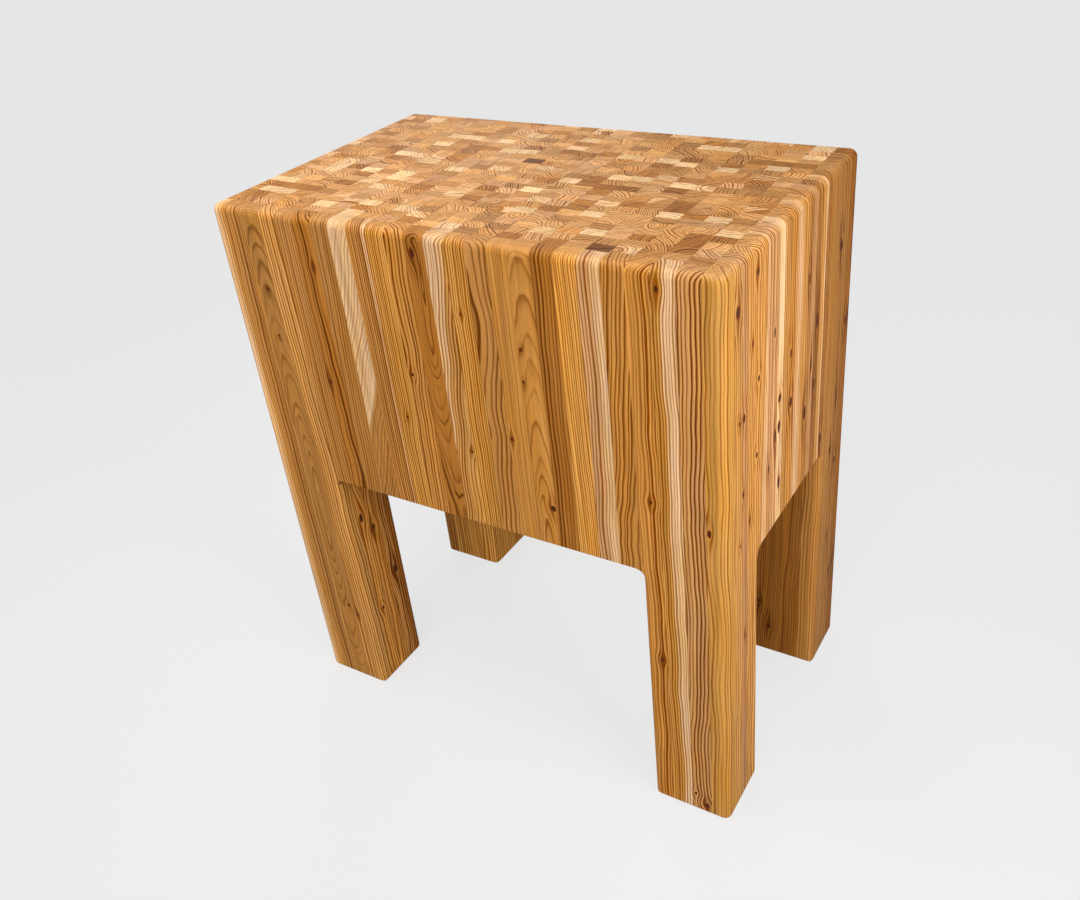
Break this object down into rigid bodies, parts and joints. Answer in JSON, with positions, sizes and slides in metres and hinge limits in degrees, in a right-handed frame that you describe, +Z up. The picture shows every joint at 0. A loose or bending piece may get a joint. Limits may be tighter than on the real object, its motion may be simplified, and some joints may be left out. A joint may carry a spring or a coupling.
{
  "type": "chopping block",
  "caption": "Heavy end-grain chopping block on legs, glued up from upright softwood staves; the long staves at its corners run from the worktop to the floor.",
  "frame": {"origin": "on the floor, under the middle of the block", "axes": "+X to the right along the width, +Y from the front to the back, +Z up"},
  "size_m": [0.8, 0.485, 0.9],
  "materials": {
    "stave_wood": "oiled larch, short staves with end grain on top, satin",
    "post_wood": "oiled larch, long staves with end grain on top, satin"
  },
  "bodies": {
    "root": {"middle_lamella_01": "stave_wood", "middle_lamella_02": "stave_wood", "middle_lamella_03": "stave_wood", "middle_lamella_04": "stave_wood", "middle_lamella_05": "stave_wood", "middle_lamella_06": "stave_wood", "middle_lamella_07": "stave_wood", "middle_lamella_08": "stave_wood", "middle_lamella_09": "stave_wood", "middle_lamella_10": "stave_wood", "middle_lamella_11": "stave_wood", "middle_lamella_12": "stave_wood", "middle_lamella_13": "stave_wood", "middle_lamella_14": "stave_wood", "middle_lamella_15": "stave_wood", "middle_lamella_16": "stave_wood", "middle_lamella_17": "stave_wood", "left_panel_1": "stave_wood", "left_panel_2": "stave_wood", "left_panel_3": "stave_wood", "left_panel_4": "stave_wood", "right_panel_1": "stave_wood", "right_panel_2": "stave_wood", "right_panel_3": "stave_wood", "right_panel_4": "stave_wood", "front_left_post_1": "post_wood", "front_left_post_2": "post_wood", "front_left_post_3": "post_wood", "front_left_post_4": "post_wood", "front_right_post_1": "post_wood", "front_right_post_2": "post_wood", "front_right_post_3": "post_wood", "front_right_post_4": "post_wood", "back_left_post_1": "post_wood", "back_left_post_2": "post_wood", "back_left_post_3": "post_wood", "back_left_post_4": "post_wood", "back_right_post_1": "post_wood", "back_right_post_2": "post_wood", "back_right_post_3": "post_wood", "back_right_post_4": "post_wood"}
  },
  "joints": []
}
